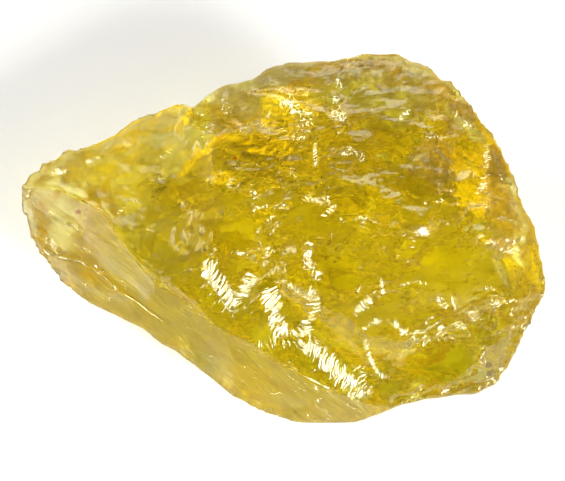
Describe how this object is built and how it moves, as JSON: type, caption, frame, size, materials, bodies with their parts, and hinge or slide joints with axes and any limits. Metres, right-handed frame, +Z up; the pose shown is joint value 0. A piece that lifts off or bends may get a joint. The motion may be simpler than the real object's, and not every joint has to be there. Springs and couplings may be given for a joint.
{
  "type": "raw topaz",
  "caption": "Uncut lump of clear golden-yellow crystal, with a smooth shell-like front bevel and a rough, ledged upper face; a specimen or jeweller's rough that rests on its flat underside.",
  "frame": {"origin": "on the surface the stone rests on, at the middle of the stone's bounding box", "axes": "+Z up from the flat underside; +X along the stone's long side, towards its broad end; -Y towards the front, the side with the smooth bevel"},
  "size_m": [0.0524, 0.0376, 0.0162],
  "materials": {
    "topaz": "clear golden-yellow crystal, glossy on smooth breaks and rough on ledges"
  },
  "bodies": {
    "root": {"topaz": "topaz"}
  },
  "joints": []
}
